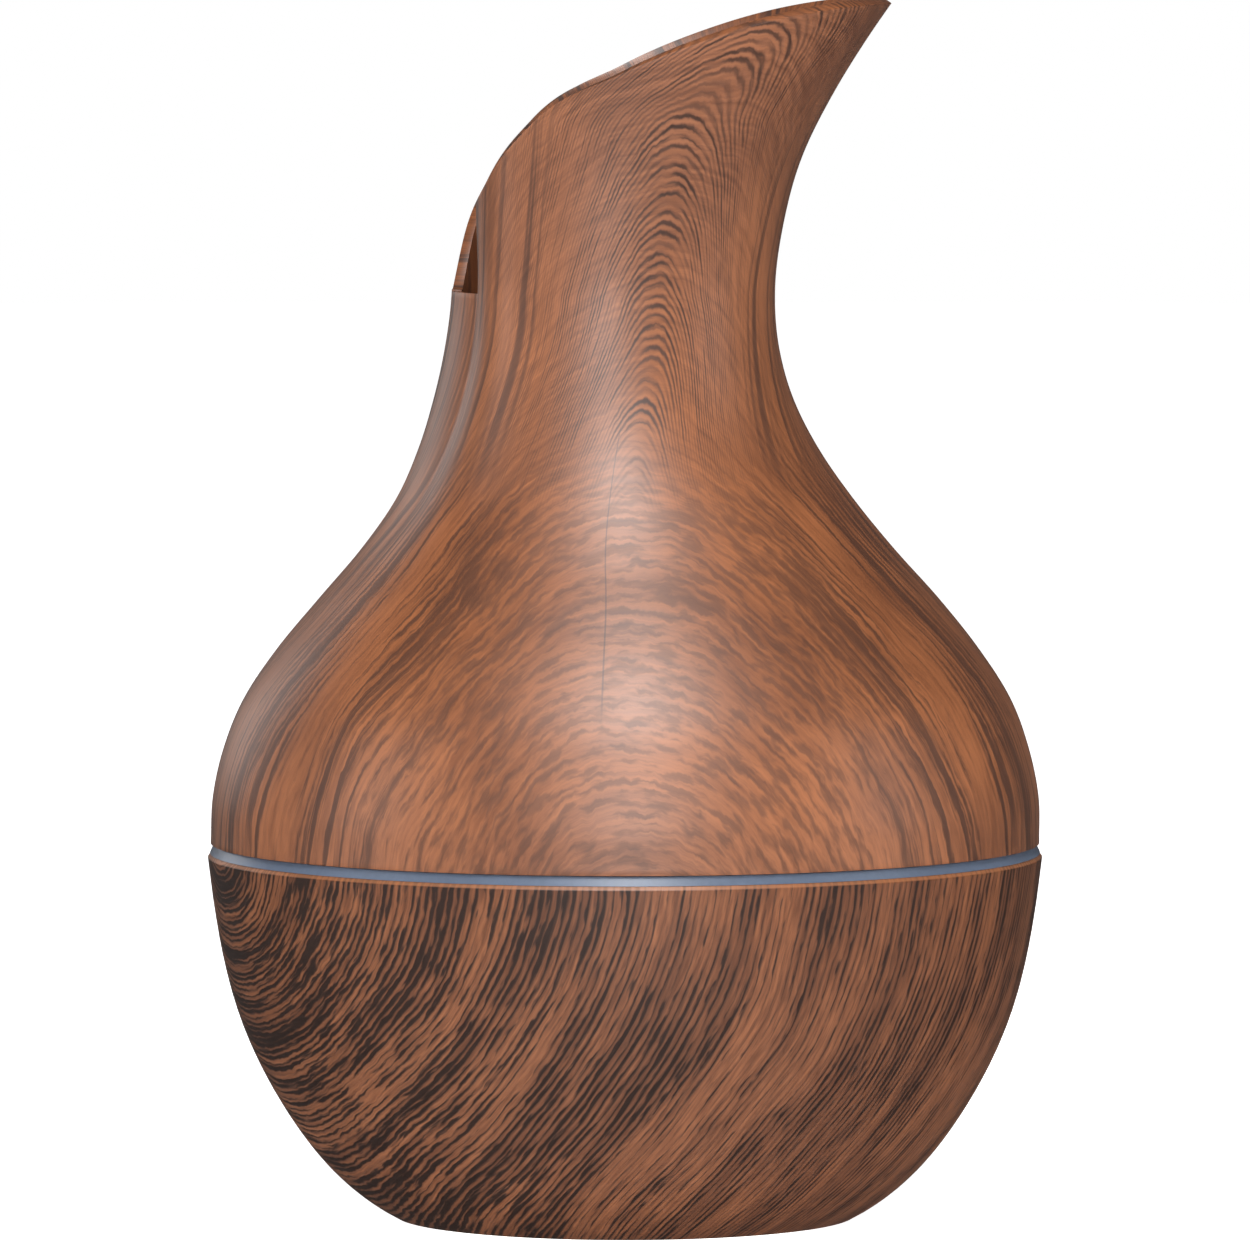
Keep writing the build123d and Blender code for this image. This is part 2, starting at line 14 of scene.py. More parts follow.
import bmesh
import bpy
import numpy as np
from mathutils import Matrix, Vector


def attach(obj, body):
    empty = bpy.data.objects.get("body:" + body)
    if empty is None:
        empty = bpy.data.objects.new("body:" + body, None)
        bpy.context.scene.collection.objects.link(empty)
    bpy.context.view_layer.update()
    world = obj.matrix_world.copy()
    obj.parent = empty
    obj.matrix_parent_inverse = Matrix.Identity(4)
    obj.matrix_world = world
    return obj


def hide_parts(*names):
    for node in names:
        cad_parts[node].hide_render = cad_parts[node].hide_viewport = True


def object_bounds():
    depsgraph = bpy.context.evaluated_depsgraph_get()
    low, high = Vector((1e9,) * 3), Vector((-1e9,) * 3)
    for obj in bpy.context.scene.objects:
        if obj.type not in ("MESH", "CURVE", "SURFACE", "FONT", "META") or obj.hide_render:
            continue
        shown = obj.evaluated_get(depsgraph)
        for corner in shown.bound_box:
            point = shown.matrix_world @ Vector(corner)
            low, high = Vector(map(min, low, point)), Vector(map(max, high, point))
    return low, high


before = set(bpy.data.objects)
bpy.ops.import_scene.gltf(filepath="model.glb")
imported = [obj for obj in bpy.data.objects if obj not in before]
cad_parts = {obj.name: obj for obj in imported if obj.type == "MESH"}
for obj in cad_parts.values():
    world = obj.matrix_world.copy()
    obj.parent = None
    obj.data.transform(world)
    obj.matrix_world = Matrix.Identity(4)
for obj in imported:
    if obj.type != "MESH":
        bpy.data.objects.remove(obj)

cad_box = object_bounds()
print("CAD box", [list(corner) for corner in cad_box])

# %% [markdown]
# ## Sizes that everything shares
#
# One millimetre is the unit in which this object is thought out, so lengths are written in
# millimetres and multiplied by `MM` where Blender needs metres. The height of the whole object
# comes from the CAD box, because a height typed twice drifts apart sooner or later.

# %% Shared sizes
MM = 0.001
bottom_corner, top_corner = cad_box
object_height = top_corner.z - bottom_corner.z
print("height", round(object_height / MM, 2), "mm")

# %% [markdown]
# ## The camera
#
# A product is usually shot from far away with a long lens, which keeps its upright lines upright.
# The camera stands in front of the object, a little above it, and looks slightly down at the
# middle of its height.

# %% Camera
def aim(thing, place, target):
    """Puts a camera or a lamp at a place and turns it to face a target."""
    thing.location = place
    thing.rotation_euler = (Vector(target) - Vector(place)).to_track_quat("-Z", "Y").to_euler()


camera_data = bpy.data.cameras.new("product_camera")
camera_data.sensor_width = 36.0
camera_data.lens = 348.0
camera_data.clip_end = 50.0
camera = bpy.data.objects.new("product_camera", camera_data)
bpy.context.collection.objects.link(camera)
aim(camera, (0.0, -1.45, 0.164), (0.0, 0.0, 0.0718))
bpy.context.scene.camera = camera
print("camera distance", round(camera.location.length, 3), "m")

# %% [markdown]
# ## The studio
#
# The light of a product shot is broad and soft. A wide frontal soft box puts a pale satin sheen
# in the middle of the belly, two weaker ones at the sides keep the edges from going black, and
# one above lights the rim. Standard view transform keeps a white backdrop white, where a filmic
# one would turn it grey.

# %% Studio
FLOOR_RADIUS = 3.0


def soft_box(name, place, target, width, height, power):
    """A rectangular area lamp that faces a target."""
    data = bpy.data.lights.new(name, "AREA")
    data.shape = "RECTANGLE"
    data.size = width
    data.size_y = height
    data.energy = power
    lamp = bpy.data.objects.new(name, data)
    bpy.context.collection.objects.link(lamp)
    aim(lamp, place, target)
    return lamp


middle = (0.0, 0.0, object_height / 2)
soft_box("front_box", (0.03, -1.1, 0.30), middle, 0.26, 0.6, 5.6)
soft_box("left_box", (-0.9, -0.25, 0.3), middle, 0.35, 0.6, 1.5)
soft_box("right_box", (0.9, -0.25, 0.3), middle, 0.35, 0.6, 1.3)
soft_box("top_box", (0.02, -0.55, 0.85), middle, 0.26, 0.6, 9.0)
soft_box("back_left_box", (-0.75, 0.9, 0.35), middle, 0.35, 0.5, 1.0)

world = bpy.data.worlds.new("white_room")
world.use_nodes = True
backdrop = world.node_tree.nodes["Background"]
backdrop.inputs["Color"].default_value = (1.0, 1.0, 1.0, 1.0)
rays = world.node_tree.nodes.new("ShaderNodeLightPath")
seen = world.node_tree.nodes.new("ShaderNodeMapRange")
seen.inputs["To Min"].default_value = 0.07
seen.inputs["To Max"].default_value = 1.0
world.node_tree.links.new(rays.outputs["Is Camera Ray"], seen.inputs["Value"])
world.node_tree.links.new(seen.outputs["Result"], backdrop.inputs["Strength"])
bpy.context.scene.world = world
bpy.context.scene.view_settings.view_transform = "Standard"

# %% [markdown]
# ## Shader maths as plain expressions
#
# A wood pattern is a formula, and a formula drawn as forty Math nodes is hard to read. `Signal`
# wraps one output socket, and its operators add the Math nodes, so a pattern can be written as
# `1 - line * strength`. `Finish` starts a material and has one method, `node`, that adds any
# other node: its settings first, then the values or links of its sockets.

# %% Signals and finishes
class Signal:
    """One value in a shader, with Python's operators."""

    def __init__(self, finish, socket):
        self.finish = finish
        self.socket = socket

    def math(self, operation, *others):
        return self.finish.node("ShaderNodeMath", {"operation": operation}, dict(enumerate((self,) + others)))

    def __add__(self, other):
        return self.math("ADD", other)

    def __sub__(self, other):
        return self.math("SUBTRACT", other)

    def __mul__(self, other):
        return self.math("MULTIPLY", other)

    def __truediv__(self, other):
        return self.math("DIVIDE", other)

    def __neg__(self):
        return self.math("MULTIPLY", -1.0)

    def __rsub__(self, other):
        return self.math("MULTIPLY_ADD", -1.0, other)

    __radd__ = __add__
    __rmul__ = __mul__

    def root(self):
        return self.math("SQRT")

    def size(self):
        return self.math("ABSOLUTE")

    def between(self, low, high, start=0.0, end=1.0, smooth=True):
        """Goes from start to end while the signal goes from low to high, and stays there."""
        kind = "SMOOTHSTEP" if smooth else "LINEAR"
        values = {"Value": self, "From Min": low, "From Max": high, "To Min": start, "To Max": end}
        return self.finish.node("ShaderNodeMapRange", {"interpolation_type": kind}, values)


class Finish:
    """A material under construction, around one Principled shader."""

    def __init__(self, name, **uniform):
        self.material = bpy.data.materials.new(name)
        self.material.use_nodes = True
        self.tree = self.material.node_tree
        self.shader = self.tree.nodes["Principled BSDF"]
        for label, value in uniform.items():
            self.shader.inputs[label.replace("_", " ")].default_value = value

    def node(self, kind, settings=None, inputs=None, output=0):
        made = self.tree.nodes.new(kind)
        for label, value in (settings or {}).items():
            setattr(made, label, value)
        for label, value in (inputs or {}).items():
            if isinstance(value, Signal):
                self.tree.links.new(value.socket, made.inputs[label])
            else:
                made.inputs[label].default_value = value
        return Signal(self, made.outputs[output])

    def axes(self):
        """X, Y and Z on the object, in millimetres."""
        place = self.node("ShaderNodeTexCoord", output="Object")
        return [self.node("ShaderNodeSeparateXYZ", inputs={"Vector": place}, output=axis) / MM
                for axis in "XYZ"]

    def vector(self, x, y, z):
        return self.node("ShaderNodeCombineXYZ", inputs={"X": x, "Y": y, "Z": z})

    def noise(self, x, y, z, detail=2.0, rough=0.5):
        """Soft noise about zero, roughly from -0.5 to 0.5."""
        values = {"Vector": self.vector(x, y, z), "Scale": 1.0, "Detail": detail, "Roughness": rough}
        return self.node("ShaderNodeTexNoise", {"noise_dimensions": "3D"}, values) - 0.5

    def blend(self, amount, first, second):
        """Mixes two colours. A Mix node keeps the sockets for colours at 6 and 7, the result at 2."""
        values = {0: amount, 6: first, 7: second}
        return self.node("ShaderNodeMix", {"data_type": "RGBA"}, values, output=2)

    def feed(self, label, signal):
        """Links a signal to a socket of the Principled shader."""
        self.tree.links.new(signal.socket, self.shader.inputs[label])

    def bump(self, height, strength, distance):
        values = {"Height": height, "Strength": strength, "Distance": distance * MM}
        self.feed("Normal", self.node("ShaderNodeBump", inputs=values, output="Normal"))


def shade(red, green, blue):
    """A display colour from 0 to 255, as the linear colour that shaders use."""
    def linear(value):
        value /= 255
        return value / 12.92 if value <= 0.04045 else ((value + 0.055) / 1.055) ** 2.4
    return (linear(red), linear(green), linear(blue), 1.0)


print("shade(255, 255, 255) is", shade(255, 255, 255))

# %% [markdown]
# ## Wood-grain film on the cover
#
# The cover is plastic with a printed film that looks like planed timber. Planed timber shows
# its year rings as nested arches on the face and as fine straight lines down the sides. A
# picture would be the usual way, but a formula has no edges and no seams, and it follows the
# object's own shape.
#
# The angle about the neck is one leg of a right triangle and the height is the other. The long
# side counts the rings, so lines of equal count are arches. Noise bends them, fades some and
# breaks others into dashes. The neck has narrow arches with bunches of upright streaks at its
# sides. The belly has short flat scales in the middle, which turn into long threads and bands
# towards the sides. The two patterns blend into each other at the foot of the neck.

# %% Cover film
RINGS_PER_RADIAN = 25.0


def stripes(rings):
    """0 between the rings and 1 on each dark ring."""
    return (rings.math("FRACT") - 0.5).size() * 2


def arches(sideways, up):
    """Counts rings by the long side of the triangle."""
    return (sideways * sideways + up * up).root()


def cover_film():
    film = Finish("cover_wood_film", Coat_Weight=0.65, Coat_Roughness=0.42)
    film.shader.inputs["Specular IOR Level"].default_value = 0.55
    x, y, z = film.axes()
    lean = z.between(80.0, 112.0, 0.04, 0.27) + z.between(112.0, 136.0, 0.0, 0.14, smooth=False)
    lean = lean + z.between(132.0, 147.0, 0.0, 0.30)
    turn = (x - z.between(74.0, 100.0, 0.0, -2.1)).math("ARCTAN2", -y) - lean
    around = turn.math("WRAP", math.pi, -math.pi)
    sideways = around.size() * RINGS_PER_RADIAN
    wander = film.noise(x * 0.055, y * 0.055, z * 0.035, detail=1.0)
    jag = film.noise(x * 0.5, y * 0.5, z * 0.10, detail=3.0, rough=0.6)

    climb = z.between(78.0, 147.0, 0.0, 58.0, smooth=False)
    neck_rings = arches(sideways * 3.4, climb) + wander * 5.0 + jag * 1.3
    fade = film.noise(neck_rings * 0.30, z * 0.02, 3.0, detail=1.0).between(-0.25, 0.08, 0.25, 1.0)
    dash = film.noise(neck_rings * 1.5, z * 0.25, x * 0.25, detail=2.0).between(-0.18, 0.08, 0.25, 1.0)
    edge = around.size().between(0.30, 0.95)
    bunch = film.noise(sideways * 0.25, z * 0.01, 8.0, detail=1.0).between(-0.10, 0.10, 0.30, 1.0)
    streaks = film.noise(sideways * 1.1, z * 0.012, 4.0, detail=3.0).between(-0.10, 0.05) * bunch * edge
    lines = stripes(neck_rings).between(0.15, 0.85) * fade * dash * (1 - edge * 0.6)
    neck_mark = lines.math("MAXIMUM", streaks)

    spread = arches(sideways, (z - 36.0) * 0.42) + wander * 3.0 + jag * 0.6
    scales = film.noise(spread * 3.0, z * 0.32, x * 0.30, detail=2.0, rough=0.5)
    threads = film.noise(spread * 2.6, z * 0.03, 9.0, detail=3.0, rough=0.65)
    side = around.size().between(0.30, 0.85)
    bands = film.noise(spread * 0.40, z * 0.02, 5.0, detail=1.0)
    waves = (stripes(spread * 1.4 + jag) - 0.5) * 0.14
    grain = scales * (1 - side) + threads * side * 1.3 + bands * (side * 0.5 + 0.2) + waves
    belly_mark = grain.between(-0.08, 0.15) * (side * 0.30 + 0.46)

    mark = belly_mark * z.between(84.0, 98.0, 1.0, 0.0) + neck_mark * z.between(84.0, 100.0) * 0.95
    fibre = film.noise(spread * 3.5, z * 0.16, y * 0.05, detail=4.0, rough=0.65)
    cloud = film.noise(x * 0.05, y * 0.05, z * 0.05, detail=2.0)
    ground = film.blend((fibre * 1.0 + cloud * 0.7 + 0.5).between(0.15, 0.85),
                        shade(104, 57, 28), shade(148, 88, 49))
    colour = film.blend(mark, ground, shade(50, 24, 11))
    hairline = 1 - (around + 0.10).size().between(0.0016, 0.0034)
    hairline = hairline * z.between(62.0, 68.0) * (1 - z.between(94.0, 99.0))
    colour = film.blend(hairline * 0.6, colour, shade(44, 24, 16))
    film.feed("Base Color", colour)
    film.feed("Roughness", 0.46 + mark * 0.10 + fibre * 0.08)
    film.bump(fibre * 0.5 - mark * 0.6, 0.25, 0.05)
    return film.material


cover_wood = cover_film()
print(cover_wood.name, len(cover_wood.node_tree.nodes), "nodes")

# %% [markdown]
# ## Wood-grain film on the base
#
# The base shows a bolder cut of the same timber, with near-black bands between tan ones. Here
# the rings are centred on the left side of the bowl and open upwards, so the lines lie almost
# level on the left, slant in the middle and stand upright on the right. The profile across the
# rings is noise instead of an even wave, because the dark bands come in uneven groups.

# %% Base film
def base_film():
    film = Finish("base_wood_film", Coat_Weight=0.25, Coat_Roughness=0.45)
    x, y, z = film.axes()
    turn = x.math("ARCTAN2", -y) + 1.3
    around = turn.math("WRAP", math.pi, -math.pi).size()
    left = around.between(0.3, 1.3, 1.0, 0.0)
    wander = film.noise(x * 0.05, y * 0.05, z * 0.05, detail=1.0) * 0.8
    squiggle = film.noise(x * 0.5, y * 0.5, z * 0.5, detail=2.0) * (left * 0.24 + 0.04)
    rings = arches(around * 17.0, (44.5 - z) / 2.1 + 1.3) + wander + squiggle
    dashes = film.noise(rings * 3.4, z * 0.28, x * 0.28, detail=2.0, rough=0.5)
    threads = film.noise(rings * 3.4, z * 0.06, 3.0, detail=2.0, rough=0.6)
    waves = (stripes(rings * 3.1 + dashes) - 0.5) * 0.26
    lines = dashes * (left * 0.5 + 0.35) + threads * (0.5 - left * 0.5) + waves
    group = film.noise(rings * 0.5, z * 0.03, 7.0, detail=2.0)
    hair = film.noise(rings * 10.0, z * 0.3, x * 0.1, detail=2.0)
    depth = around.between(0.5, 1.7, 0.05, -0.045) + around.between(2.1, 2.7, 0.0, 0.05)
    black = (lines + group * 0.42 + hair * 0.25 + depth).between(-0.05, 0.13)
    brown = (lines * 0.5 + group).between(-0.20, 0.10)
    warm = film.blend((hair + 0.5).between(0.25, 0.8), shade(98, 54, 27), shade(136, 80, 43))
    colour = film.blend(brown * 0.55, warm, shade(74, 38, 19))
    colour = film.blend(black * 0.86, colour, shade(20, 10, 6))
    # A thin light tan line along the top bevel of the base, from 44.0 to 44.15 mm high: a painted highlight.
    colour = film.blend(z.between(44.0, 44.15) * 0.5, colour, shade(160, 104, 68))
    film.feed("Base Color", colour)
    film.feed("Roughness", 0.46 + black * 0.12 + hair * 0.10)
    film.bump(hair * 0.4 - black * 0.6, 0.3, 0.05)
    return film.material


base_wood = base_film()
print(base_wood.name, len(base_wood.node_tree.nodes), "nodes")

# %% [markdown]
# ## Moulded plastics, rubber and metal
#
# The other parts need calmer finishes, yet none of them is one flat colour. Moulded plastic has
# a faint orange-peel skin, rubber is duller and slightly dusty, sheet steel keeps the streaks
# of its drawing, and a circuit board shows the copper under its lacquer. One function makes
# them all: noise moves the colour and the roughness a little and lifts the surface.

# %% Plain finishes
def moulded(name, colour, spread=0.06, grain=1.4, depth=0.02, stretch=1.0, rough=0.4, **uniform):
    """A finish with a fine skin: a little noise in its colour, its gloss and its height."""
    finish = Finish(name, **uniform)
    x, y, z = finish.axes()
    skin = finish.noise(x * grain, y * grain, z * grain * stretch, detail=3.0)
    cloud = finish.noise(x * 0.08, y * 0.08, z * 0.08, detail=2.0)
    light = tuple(min(1.0, part * (1 + spread)) for part in colour[:3]) + (1.0,)
    dark = tuple(part * (1 - 2 * spread) for part in colour[:3]) + (1.0,)
    finish.feed("Base Color", finish.blend((skin * 0.8 + cloud + 0.5).between(0.1, 0.9), dark, light))
    finish.feed("Roughness", rough + skin * 0.12 + cloud * 0.08)
    finish.bump(skin, 0.5, depth)
    return finish.material


white_plastic = moulded("white_plastic", shade(236, 235, 230), rough=0.32, Coat_Weight=0.1)
frosted_plastic = moulded("frosted_plastic", shade(214, 222, 226), rough=0.42, grain=2.2,
                          Transmission_Weight=0.35)
ring_plastic = moulded("ring_plastic", shade(86, 97, 115), rough=0.34, depth=0.01, Transmission_Weight=0.12)
black_plastic = moulded("black_plastic", shade(30, 30, 32), spread=0.2, rough=0.48, grain=2.5)
silicone = moulded("silicone", shade(214, 213, 208), rough=0.55, grain=0.9, Subsurface_Weight=0.15)
foot_rubber = moulded("foot_rubber", shade(38, 38, 39), spread=0.25, rough=0.75, grain=3.0, depth=0.05)
screw_steel = moulded("screw_steel", shade(176, 178, 182), rough=0.32, grain=3.5, Metallic=1.0)
inlet_steel = moulded("inlet_steel", shade(190, 191, 194), rough=0.26, grain=0.6, stretch=9.0, Metallic=1.0)
contact_metal = moulded("contact_metal", shade(222, 184, 96), rough=0.22, grain=4.0, Metallic=1.0)
can_metal = moulded("can_metal", shade(186, 188, 192), rough=0.28, grain=0.5, stretch=12.0, Metallic=1.0)
core_metal = moulded("core_metal", shade(48, 47, 46), spread=0.2, rough=0.66, grain=3.2, depth=0.05)
copper_wire = moulded("copper_wire", shade(184, 104, 56), rough=0.3, grain=0.4, stretch=16.0, depth=0.08,
                      Metallic=0.9)
disc_metal = moulded("disc_metal", shade(204, 202, 190), rough=0.3, grain=1.8, Metallic=0.7)
lamp_epoxy = moulded("lamp_epoxy", shade(238, 240, 244), rough=0.12, Transmission_Weight=0.6)
lead_skin = moulded("lead_skin", shade(168, 34, 28), rough=0.45, grain=2.0)
print("finishes so far", len(bpy.data.materials))

# %% [markdown]
# A circuit board is green lacquer over a copper pattern. One Voronoi pattern on a square
# metric, cut at two sets of distances, gives blocky shapes that read as tracks and pads without being drawn
# one by one.

# %% Board finish
def board_lacquer():
    board = Finish("board_lacquer", Coat_Weight=0.4, Coat_Roughness=0.15)
    x, y, z = board.axes()
    look = {"feature": "F1", "distance": "CHEBYCHEV"}
    cells = {"Vector": board.vector(x * 0.45, y * 0.45, 0.0), "Scale": 1.0, "Randomness": 0.55}
    pads = board.node("ShaderNodeTexVoronoi", look, cells, output="Distance")
    tracks = pads.between(0.30, 0.33) * (1 - pads.between(0.36, 0.39))
    weave = board.noise(x * 3.0, y * 3.0, z, detail=1.0)
    green = board.blend(tracks, shade(16, 72, 44), shade(34, 104, 62))
    board.feed("Base Color", board.blend(1 - pads.between(0.07, 0.09), green, shade(196, 198, 196)))
    board.feed("Roughness", 0.34 + weave * 0.2)
    board.bump(tracks + weave * 0.2, 0.5, 0.03)
    return board.material


board_finish = board_lacquer()
print(board_finish.name, "ready")

# %% [markdown]
# ## The backdrop
#
# The object stands on a plain white floor. A large disc with a matt white finish, which also
# glows an even white and is hidden from reflections, fills the ground around it.

# %% Floor
def floor_disc():
    mesh = bpy.data.meshes.new("studio_floor")
    disc = bmesh.new()
    bmesh.ops.create_circle(disc, cap_ends=True, segments=96, radius=FLOOR_RADIUS)
    disc.to_mesh(mesh)
    disc.free()
    floor = bpy.data.objects.new("studio_floor", mesh)
    bpy.context.collection.objects.link(floor)
    paper = Finish("floor_paper", Base_Color=(1.0, 1.0, 1.0, 1.0), Roughness=0.9)
    paper.shader.inputs["Specular IOR Level"].default_value = 0.1
    paper.shader.inputs["Emission Color"].default_value = (1.0, 1.0, 1.0, 1.0)
    paper.shader.inputs["Emission Strength"].default_value = 1.0
    mesh.materials.append(paper.material)
    return floor


studio_floor = floor_disc()
studio_floor.visible_glossy = False
print("floor", studio_floor.name)

# %% [markdown]
# ## From points and faces to a finished piece
#
# Three small helpers are used by every piece that is made here. The first turns lists of points
# and faces into an object at the origin. The second applies whatever modifiers a piece has by
# reading the evaluated mesh, which leaves a plain mesh behind. The third gives it its finish,
# its body and the CAD nodes that it stands for.

# %% Piece helpers
def mesh_piece(name, points, faces):
    """An object from points in millimetres and faces."""
    mesh = bpy.data.meshes.new(name)
    mesh.from_pydata([tuple(value * MM for value in point) for point in points], [], faces)
    mesh.update()
    piece = bpy.data.objects.new(name, mesh)
    bpy.context.collection.objects.link(piece)
    return piece


def settle(piece, sharp=40.0):
    """Applies the modifiers, smooths the faces and keeps the edges sharper than an angle."""
    evaluated = piece.evaluated_get(bpy.context.evaluated_depsgraph_get())
    mesh = bpy.data.meshes.new_from_object(evaluated)
    mesh.name = piece.name
    piece.modifiers.clear()
    piece.data = mesh
    mesh.shade_smooth()
    mesh.set_sharp_from_angle(angle=math.radians(sharp))
    return piece


def hand_over(piece, finish, body, slot, *nodes):
    """Finish, body and the CAD nodes that the piece replaces; the slot argument is not used."""
    piece.data.materials.clear()
    piece.data.materials.append(finish)
    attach(piece, body)
    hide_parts(*nodes)
    piece.data.calc_loop_triangles()
    print(piece.name, len(piece.data.loop_triangles), "triangles, for", ", ".join(nodes))
    return piece


# %% [markdown]
# ## The rolled cover
#
# The cover is one sheet, wide at the belly and narrow at the neck. Each level is a full turn
# about the neck that starts and ends in a crease: there the outer sheet rises steeply from the
# inner one, runs round the front and fades into it. Towards the top the turn reaches out to a
# pointed lip.
#
# A lathe can't do this, and sculpting it would leave it uneven. A rule for one level and a
# table of levels give a clean grid instead. A cubic curve through the rows of the table makes
# every level between them.

# %% Levels of the cover
# Height, centre, radius, how far the outer sheet stands off, direction of the crease, reach of
# the lip.
LEVELS = np.array([
    (45.7, 0.00, 49.85, 0.00, 180, 0.0),
    (51.0, 0.08, 49.70, 0.00, 180, 0.0),
    (57.0, 0.14, 48.45, 0.00, 181, 0.0),
    (63.0, 0.24, 46.10, 0.06, 186, 0.0),
    (69.0, 0.27, 42.10, 0.30, 196, 0.0),
    (75.0, 0.28, 37.10, 0.65, 201, 0.0),
    (81.0, 0.01, 31.70, 1.10, 204, 0.0),
    (87.0, -0.50, 27.00, 1.60, 207, 0.0),
    (93.0, -1.41, 23.40, 2.10, 211, 0.0),
    (99.0, -2.15, 20.80, 2.50, 214, 0.0),
    (105.0, -2.40, 19.20, 2.70, 215, 0.0),
    (112.0, -2.26, 18.47, 2.80, 214, 0.0),
    (120.0, -2.10, 18.80, 2.80, 214, 0.5),
    (128.0, -1.95, 19.25, 2.80, 214, 2.1),
    (136.0, -1.80, 19.85, 2.80, 214, 5.3),
    (142.0, -1.65, 20.30, 2.80, 214, 8.4),
    (149.0, -1.50, 20.80, 2.80, 214, 12.6),
])
RIM = np.array([(-20.75, 112.0), (-19.5, 118.0), (-16.6, 125.1), (-11.3, 132.2), (-0.5, 138.4),
                (10.2, 142.6), (21.0, 145.4), (28.0, 146.35), (36.0, 146.5)])
FOLD_TOP = 112.0
CREASE_ANGLE = 214.0
ROLL_SHARE = 26.0 / 360
TIP_SHARE = (360 - CREASE_ANGLE) / 360
BACK_SHARE = (540 - CREASE_ANGLE) / 360


def smooth_row(places, table, place):
    """Cubic curve through a table's rows, without overshoot at its ends."""
    slopes = np.gradient(table, places, axis=0)
    place = np.clip(place, places[0], places[-1])
    i = np.clip(np.searchsorted(places, place) - 1, 0, len(places) - 2)
    gap = places[i + 1] - places[i]
    t = (place - places[i]) / gap
    wide = np.ones_like(t)[..., None] if table.ndim > 1 else 1.0
    t, gap = (t[..., None] * wide, gap[..., None]) if table.ndim > 1 else (t, gap)
    return ((2 * t**3 - 3 * t**2 + 1) * table[i] + (t**3 - 2 * t**2 + t) * gap * slopes[i]
            + (3 * t**2 - 2 * t**3) * table[i + 1] + (t**3 - t**2) * gap * slopes[i + 1])


def sheet_point(share, height):
    """A point of the sheet: how far round from the crease it is, and how high."""
    centre, radius, step, crease, lip = smooth_row(LEVELS[:, 0], LEVELS[:, 1:], np.asarray(float(height)))
    angle = math.radians(crease + 360 * share)
    rise = 1 - (1 - min(share / ROLL_SHARE, 1)) ** 2
    stand_off = step * rise * (1 - share * share * (3 - 2 * share))
    reach = radius + stand_off + lip * ((1 + math.cos(angle)) / 2) ** 1.5
    return centre + reach * math.cos(angle), reach * math.sin(angle), float(height)


def rim_height(share):
    """The height at which a column of the sheet meets the slanted rim."""
    low, high = FOLD_TOP, 148.5
    for _ in range(40):
        middle_height = (low + high) / 2
        x = sheet_point(share, middle_height)[0]
        if middle_height < float(smooth_row(RIM[:, 0], RIM[:, 1], np.asarray(x))):
            low = middle_height
        else:
            high = middle_height
    return low


print("rim at the crease", round(rim_height(0.0), 2), "mm, at the tip", round(rim_height(TIP_SHARE), 2), "mm")

# %% [markdown]
# The grid has a full turn of columns up to the top of the fold. Above it the inner sheet is cut
# away, so only the columns from the crease round to the back go on, each up to its own point of
# the rim. Solidify gives the sheet its wall, thicker at the foot where it is plugged into the
# base, and a small bevel softens the rim, because no moulded edge is knife-sharp.

# %% Cover sheet
WALL_AT_FOOT = 1.9
WALL_AT_LIP = 1.2
WALL_THINS_FROM = 50.0
WALL_THINS_OVER = 40.0
ROLL_COLUMNS = 22
TURN_COLUMNS = 186
GAP_COLUMNS = 24
BODY_ROWS = 96
LIP_ROWS = 52
LEAST_LIP = 0.15


def cover_sheet():
    shares = list(np.linspace(0, ROLL_SHARE, ROLL_COLUMNS)[:-1])
    shares += list(np.linspace(ROLL_SHARE, BACK_SHARE, TURN_COLUMNS))
    columns = shares + list(np.linspace(BACK_SHARE, 1, GAP_COLUMNS)[1:-1])
    points, faces, rows = [], [], []
    for height in np.linspace(LEVELS[0, 0], FOLD_TOP, BODY_ROWS):
        rows.append(list(range(len(points), len(points) + len(columns))))
        points += [sheet_point(share, height) for share in columns]
    for lower, upper in zip(rows, rows[1:]):
        for i in range(len(columns)):
            j = (i + 1) % len(columns)
            faces.append((lower[i], lower[j], upper[j], upper[i]))
    rims = [max(rim_height(share), FOLD_TOP + LEAST_LIP) for share in shares]
    lower = rows[-1][:len(shares)]
    for k in range(1, LIP_ROWS + 1):
        upper = list(range(len(points), len(points) + len(shares)))
        points += [sheet_point(share, FOLD_TOP + (rim - FOLD_TOP) * k / LIP_ROWS)
                   for share, rim in zip(shares, rims)]
        faces += [(lower[i], lower[i + 1], upper[i + 1], upper[i]) for i in range(len(shares) - 1)]
        lower = upper
    piece = mesh_piece("rolled_cover", points, faces)
    wall = piece.vertex_groups.new(name="wall")
    for vertex in piece.data.vertices:
        share = (vertex.co.z / MM - WALL_THINS_FROM) / WALL_THINS_OVER
        wall.add([vertex.index], 1 - min(max(share, 0), 1) * (1 - WALL_AT_LIP / WALL_AT_FOOT), "REPLACE")
    solid = piece.modifiers.new("wall", "SOLIDIFY")
    solid.thickness = WALL_AT_FOOT * MM
    solid.offset = -1.0
    solid.vertex_group = "wall"
    bevel = piece.modifiers.new("soft_rim", "BEVEL")
    bevel.width = 0.28 * MM
    bevel.segments = 2
    bevel.angle_limit = math.radians(65)
    return settle(piece, 33.0)


rolled_cover = hand_over(cover_sheet(), cover_wood, "cover", "wood_grain_shell", "upper_cover", "mouth_lip")

# %% [markdown]
# ## Pan-head screws, made once and set on points
#
# Ten small screws hold the case, the fan, the board and the disc's retainer. They are all the
# same thing in four sizes, so a Geometry Nodes tree makes one screw from its sizes and sets a
# copy on every point: a domed head, a cross recess cut by a boolean, a shank, and a thread
# that is a thin wire swept along a spiral. Each copy is turned by a random angle with a fixed
# seed, because nobody lines up the slots of real screws.

# %% Screw tree
FULL_TURN = 6.283


